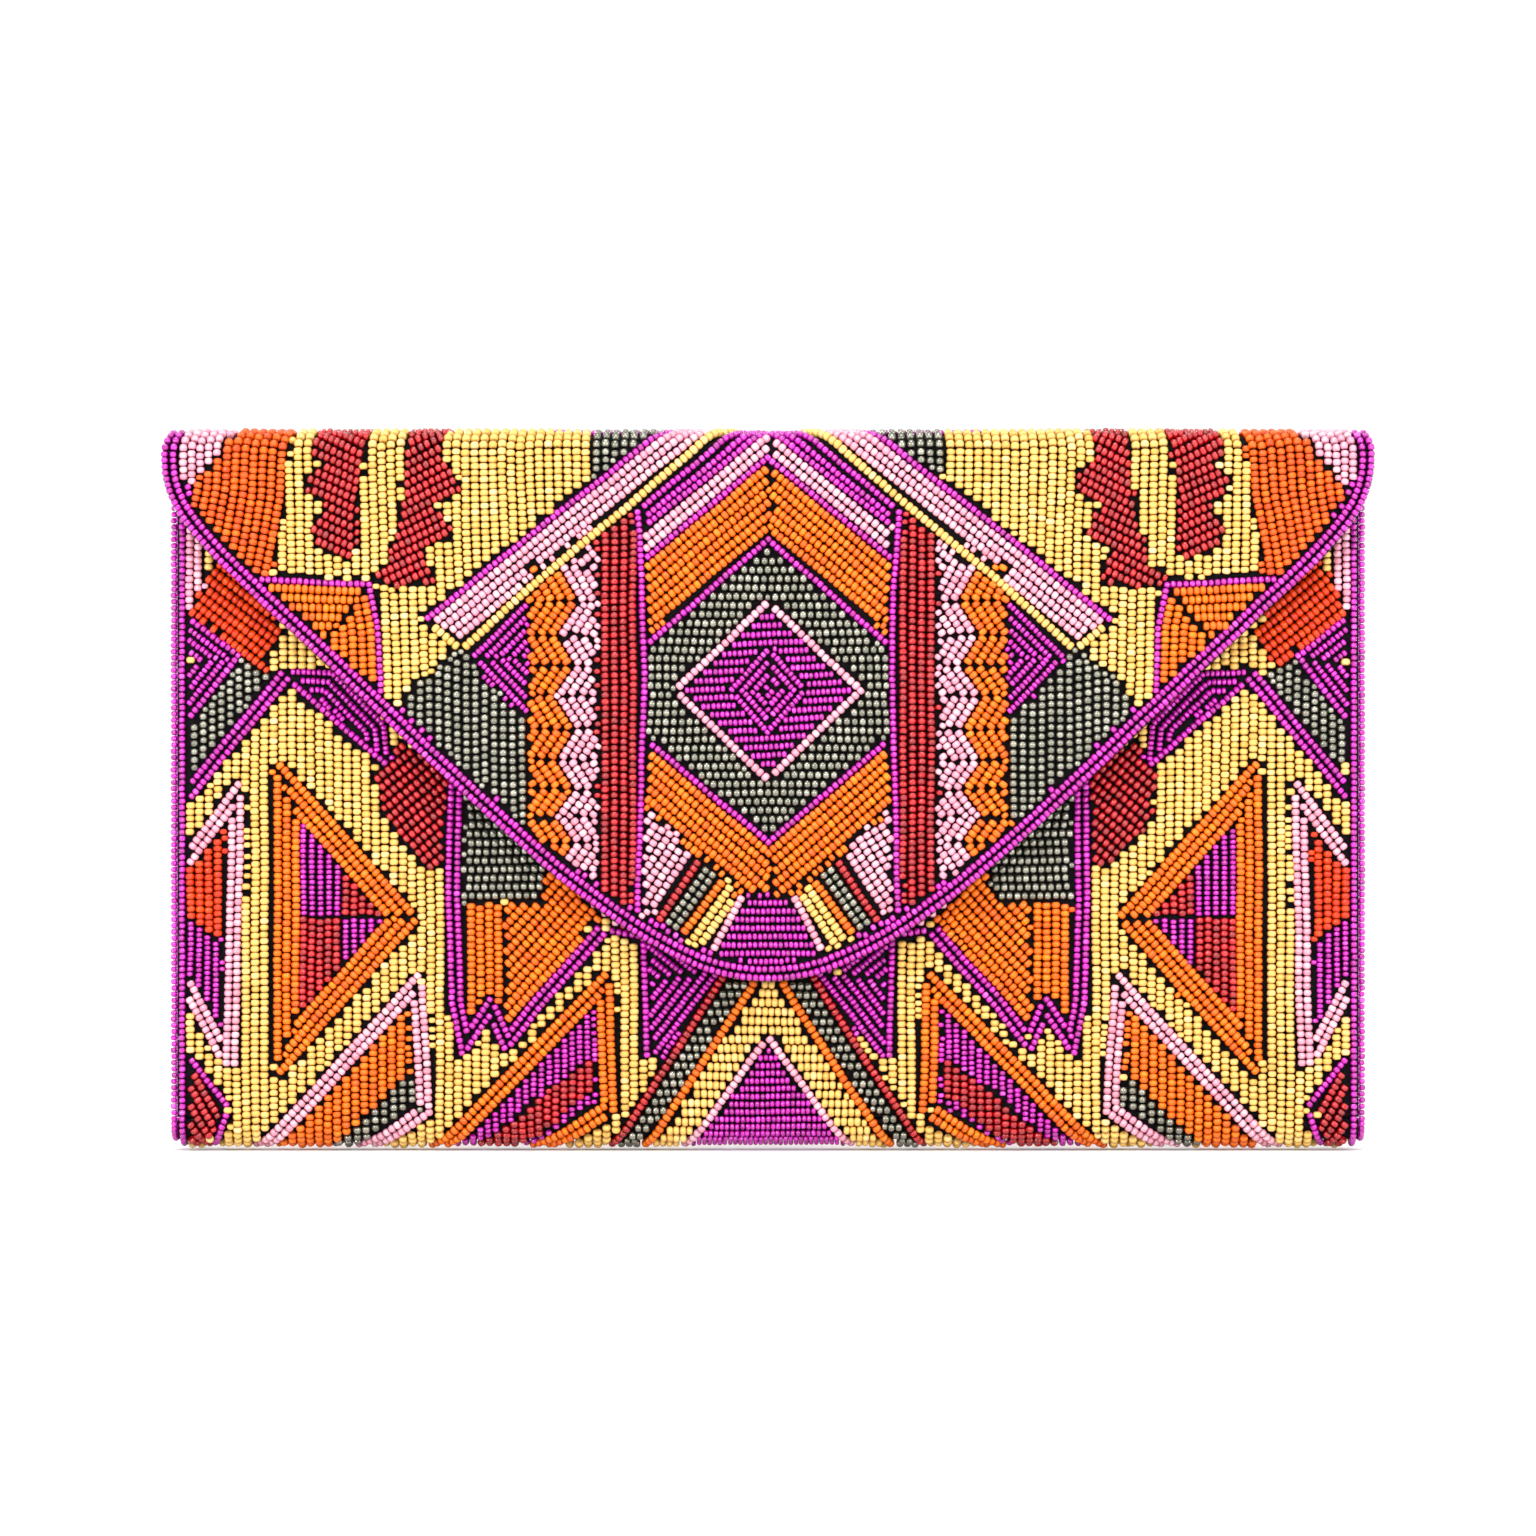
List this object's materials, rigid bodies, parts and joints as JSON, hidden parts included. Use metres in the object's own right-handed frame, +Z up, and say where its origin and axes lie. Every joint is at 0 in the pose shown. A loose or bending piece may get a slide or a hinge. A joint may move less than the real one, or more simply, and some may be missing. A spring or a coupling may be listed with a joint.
{
  "type": "envelope clutch purse",
  "caption": "Flat envelope clutch with a stiffened pocket, a folding pointed flap over its front, pleated sides and a hidden magnetic snap.",
  "frame": {"origin": "under the middle of the bag, at the lowest line of the bottom fold, half-way between the outer faces of the flap's and the back's beads", "axes": "+Z up towards the top fold, +X along the top fold to the right as seen from the front, -Y out of the front (flap) face"},
  "size_m": [0.28, 0.0192, 0.167],
  "materials": {
    "cream_beads": "opaque glazed glass seed beads, soft gloss",
    "orange_beads": "opaque glazed glass seed beads, glossy",
    "pink_beads": "pearl glass seed beads with a lustre coat",
    "red_beads": "clear dark red glass seed beads over a black lining",
    "pewter_beads": "metal-coated grey glass seed beads",
    "magenta_beads": "small clear magenta glass seed beads, colour-lined",
    "edge_beads": "small clear magenta glass seed beads in threaded edge rows",
    "ground_cloth": "black plain-weave cotton ground cloth",
    "gusset_cloth": "black plain-weave cotton, pleated",
    "stiffener_board": "grey-brown pressed board, matt",
    "satin_lining": "black satin lining with a soft sheen",
    "nickel": "nickel-plated stamped sheet, bright",
    "ferrite": "dark sintered ferrite, matt"
  },
  "bodies": {
    "back": {"back_cream_beads": "cream_beads", "back_orange_beads": "orange_beads", "back_pink_beads": "pink_beads", "back_red_beads": "red_beads", "back_pewter_beads": "pewter_beads", "back_magenta_beads": "magenta_beads", "back_edge_beads_left": "edge_beads", "back_edge_beads_right": "edge_beads", "back_cloth": "ground_cloth", "back_board": "stiffener_board", "back_lining": "satin_lining", "slip_pocket": "satin_lining", "bottom_beads": "cream_beads", "bottom_cloth": "ground_cloth", "bottom_lining": "satin_lining", "gusset_left": "gusset_cloth", "gusset_right": "gusset_cloth"},
    "front": {"front_cream_beads": "cream_beads", "front_orange_beads": "orange_beads", "front_pink_beads": "pink_beads", "front_red_beads": "red_beads", "front_pewter_beads": "pewter_beads", "front_magenta_beads": "magenta_beads", "front_edge_beads_left": "edge_beads", "front_edge_beads_right": "edge_beads", "front_cloth": "ground_cloth", "front_board": "stiffener_board", "front_lining": "satin_lining", "snap_socket_cup": "nickel", "snap_magnet": "ferrite", "snap_socket_plate": "nickel", "snap_socket_washer": "nickel"},
    "spine": {"spine_beads": "cream_beads", "spine_cloth": "ground_cloth", "spine_lining": "satin_lining"},
    "flap": {"flap_cream_beads": "cream_beads", "flap_orange_beads": "orange_beads", "flap_pink_beads": "pink_beads", "flap_red_beads": "red_beads", "flap_pewter_beads": "pewter_beads", "flap_magenta_beads": "magenta_beads", "flap_edge_beads": "edge_beads", "flap_cloth": "ground_cloth", "flap_board": "stiffener_board", "flap_lining": "satin_lining", "snap_stud": "nickel", "snap_stud_washer": "nickel"}
  },
  "joints": [
    {"name": "spine_fold", "type": "hinge", "parent": "back", "child": "spine", "pos_m": [0, 0.00655, 0.16395], "axis": [-1, 0, 0], "range_deg": [0, 90]},
    {"name": "flap_fold", "type": "hinge", "parent": "spine", "child": "flap", "pos_m": [0, -0.00655, 0.16395], "axis": [-1, 0, 0], "range_deg": [0, 90]},
    {"name": "mouth_open", "type": "hinge", "parent": "back", "child": "front", "pos_m": [0, -0.00185, 0.0069], "axis": [1, 0, 0], "range_deg": [0, 8]}
  ],
  "couplings": [
    {"joint": "flap_fold", "follows": "spine_fold", "ratio": 1},
    {"joint": "mouth_open", "follows": "spine_fold", "ratio": 0.0888}
  ]
}
